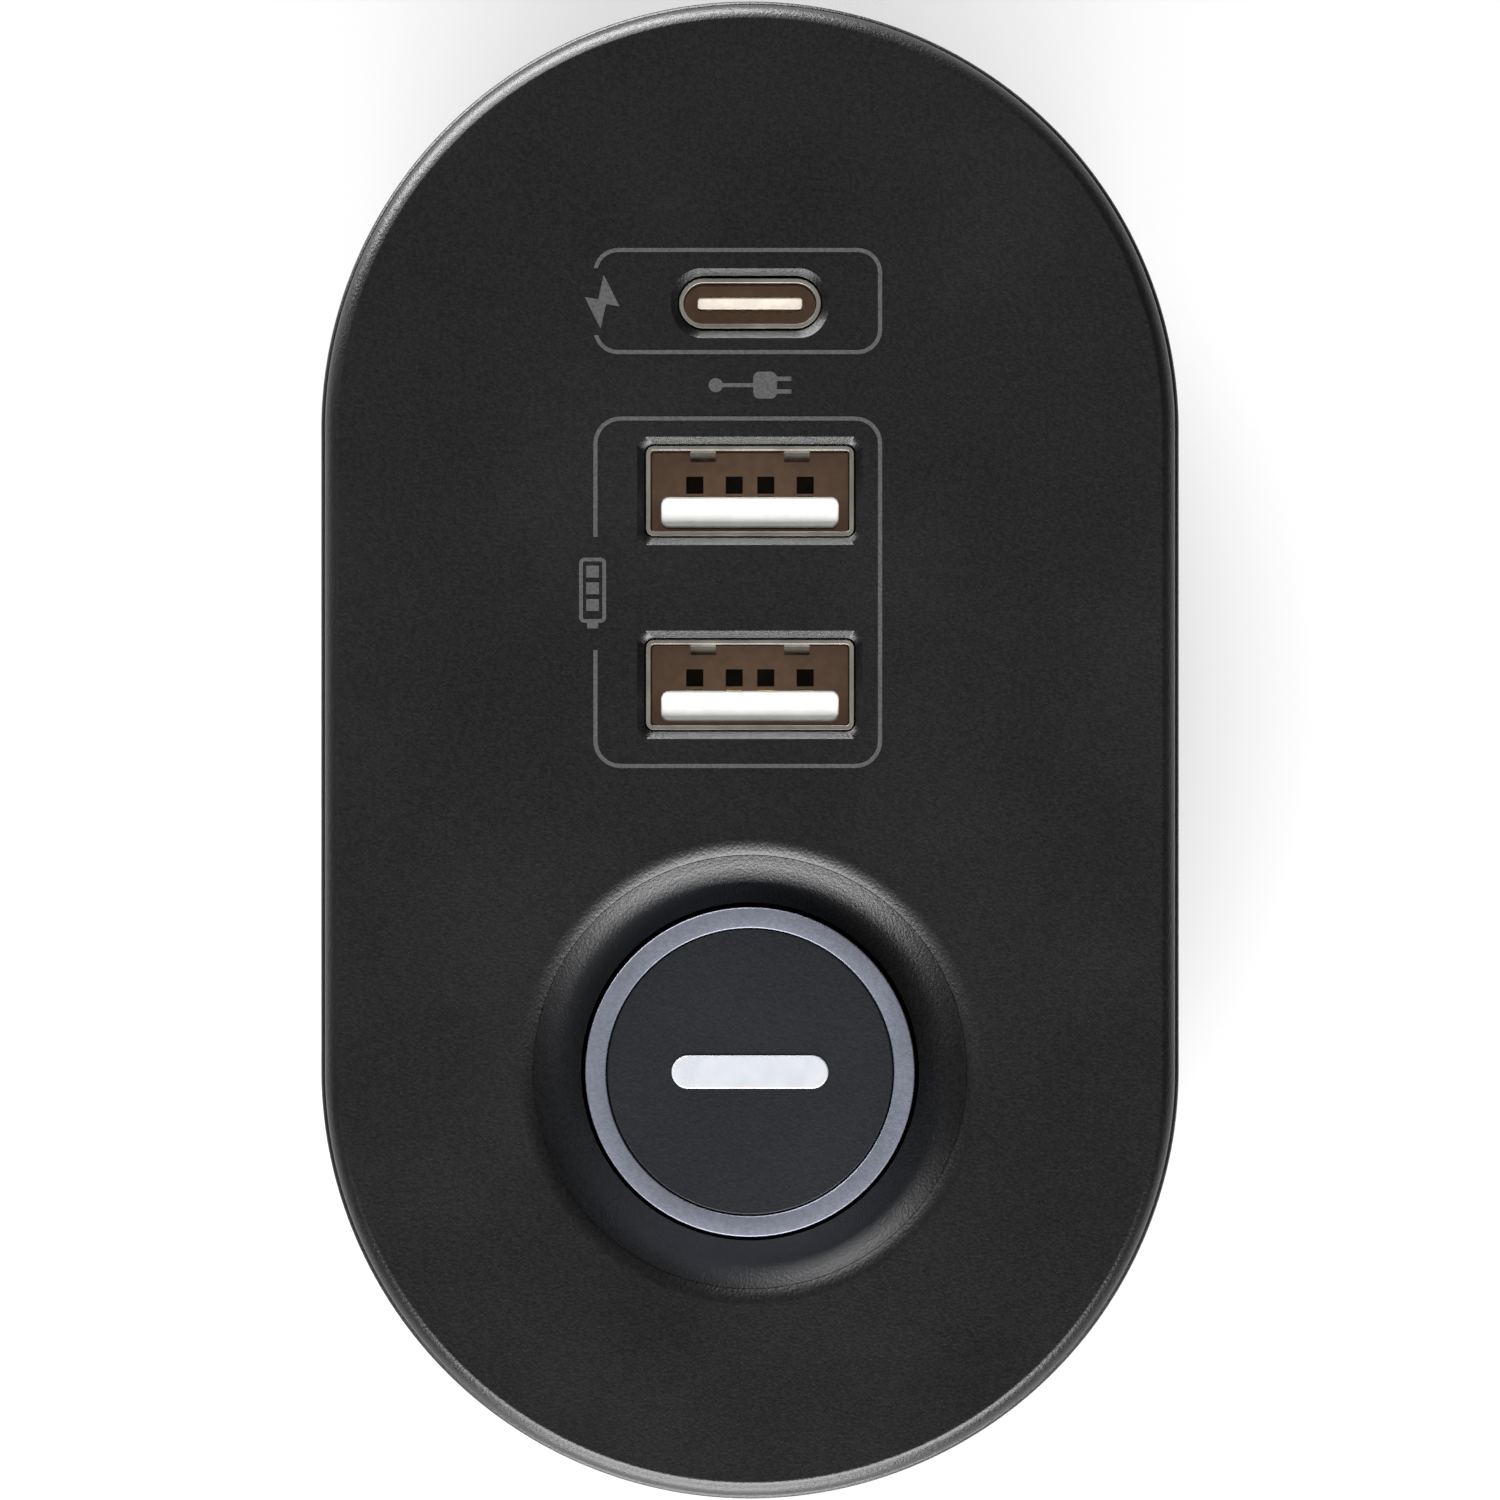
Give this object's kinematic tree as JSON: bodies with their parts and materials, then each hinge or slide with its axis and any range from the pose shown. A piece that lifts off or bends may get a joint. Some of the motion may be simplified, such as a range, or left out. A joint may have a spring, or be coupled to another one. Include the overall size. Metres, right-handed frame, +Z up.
{
  "type": "desk power strip",
  "caption": "Free-standing pill-shaped desk power strip with USB ports and a round push button on top, mains outlets on its flats and a mains inlet.",
  "frame": {"origin": "middle of the footprint, on the plane the feet stand on", "axes": "+Z up, X along the long side of the plan with the push button towards +X, -Y is the flat with three outlets"},
  "size_m": [0.0944, 0.054, 0.1306],
  "materials": {
    "housing_plastic": "fine matte spark texture",
    "socket_plastic": "smooth satin moulding",
    "shutter_plastic": "moulded satin",
    "spring_steel": "zinc-plated",
    "weight_steel": "as blanked",
    "foot_rubber": "matte",
    "carrier_plastic": "glass-filled moulding",
    "contact_brass": "stamped strip",
    "gold_contact": "flash plated",
    "button_satin": "satin blue-grey, fine blasted",
    "button_plastic": "fine matte texture",
    "light_bar": "milky diffuser",
    "plated_shell": "nickel-plated",
    "white_insulator": "moulded satin",
    "circuit_board": "solder mask",
    "capacitor_can": "drawn can",
    "choke_core": "enamelled winding",
    "varistor_coat": "dipped epoxy",
    "reset_plastic": "satin red",
    "wire_sleeve": "smooth sleeve"
  },
  "bodies": {
    "housing": {"base_cover": "housing_plastic", "base_weight": "weight_steel", "breaker_body": "housing_plastic", "bulk_capacitor": "capacitor_can", "button_spring": "spring_steel", "charger_board": "circuit_board", "contact_carrier_front": "carrier_plastic", "contact_carrier_rear": "carrier_plastic", "cover_screws": "spring_steel", "emi_choke": "choke_core", "ground_bus_front": "contact_brass", "ground_bus_rear": "contact_brass", "heat_sink": "capacitor_can", "housing_sleeve": "housing_plastic", "inlet_body": "socket_plastic", "inlet_pins": "contact_brass", "leads": "wire_sleeve", "line_bus_front": "contact_brass", "line_bus_rear": "contact_brass", "neutral_bus_front": "contact_brass", "neutral_bus_rear": "contact_brass", "outlet_face_1": "socket_plastic", "outlet_face_2": "socket_plastic", "outlet_face_3": "socket_plastic", "outlet_face_4": "socket_plastic", "outlet_face_5": "socket_plastic", "output_capacitors": "capacitor_can", "rubber_feet": "foot_rubber", "shutter_spring_1": "spring_steel", "shutter_spring_2": "spring_steel", "shutter_spring_3": "spring_steel", "shutter_spring_4": "spring_steel", "shutter_spring_5": "spring_steel", "surge_board": "circuit_board", "switch_body": "carrier_plastic", "switch_terminals": "contact_brass", "tie_screws": "spring_steel", "top_cover": "housing_plastic", "transformer": "carrier_plastic", "usb_a_contacts_1": "gold_contact", "usb_a_contacts_2": "gold_contact", "usb_a_insulator_1": "white_insulator", "usb_a_insulator_2": "white_insulator", "usb_a_shell_1": "plated_shell", "usb_a_shell_2": "plated_shell", "usb_board": "circuit_board", "usb_c_contacts": "gold_contact", "usb_c_shell": "plated_shell", "usb_c_tongue": "white_insulator", "varistors": "varistor_coat"},
    "power_button": {"button_cap": "button_plastic", "button_ring": "button_satin", "button_bar": "light_bar", "switch_plunger": "carrier_plastic"},
    "reset_button": {"reset_button": "reset_plastic"},
    "shutter_1": {"shutter_1": "shutter_plastic"},
    "shutter_2": {"shutter_2": "shutter_plastic"},
    "shutter_3": {"shutter_3": "shutter_plastic"},
    "shutter_4": {"shutter_4": "shutter_plastic"},
    "shutter_5": {"shutter_5": "shutter_plastic"}
  },
  "joints": [
    {"name": "power_button_press", "type": "slide", "parent": "housing", "child": "power_button", "axis": [0, 0, -1], "range_m": [0, 0.003], "stiffness_N_per_m": 500, "springref_m": -0.002, "deforming": ["button_spring"]},
    {"name": "reset_button_press", "type": "slide", "parent": "housing", "child": "reset_button", "axis": [0, -1, 0], "range_m": [0, 0.0025], "stiffness_N_per_m": 600, "springref_m": -0.001},
    {"name": "shutter_1_slide", "type": "slide", "parent": "housing", "child": "shutter_1", "axis": [1, 0, 0], "range_m": [0, 0.003], "stiffness_N_per_m": 200, "springref_m": -0.001, "deforming": ["shutter_spring_1"]},
    {"name": "shutter_2_slide", "type": "slide", "parent": "housing", "child": "shutter_2", "axis": [1, 0, 0], "range_m": [0, 0.003], "stiffness_N_per_m": 200, "springref_m": -0.001, "deforming": ["shutter_spring_2"]},
    {"name": "shutter_3_slide", "type": "slide", "parent": "housing", "child": "shutter_3", "axis": [1, 0, 0], "range_m": [0, 0.003], "stiffness_N_per_m": 200, "springref_m": -0.001, "deforming": ["shutter_spring_3"]},
    {"name": "shutter_4_slide", "type": "slide", "parent": "housing", "child": "shutter_4", "axis": [-1, 0, 0], "range_m": [0, 0.003], "stiffness_N_per_m": 200, "springref_m": -0.001, "deforming": ["shutter_spring_4"]},
    {"name": "shutter_5_slide", "type": "slide", "parent": "housing", "child": "shutter_5", "axis": [-1, 0, 0], "range_m": [0, 0.003], "stiffness_N_per_m": 200, "springref_m": -0.001, "deforming": ["shutter_spring_5"]}
  ]
}
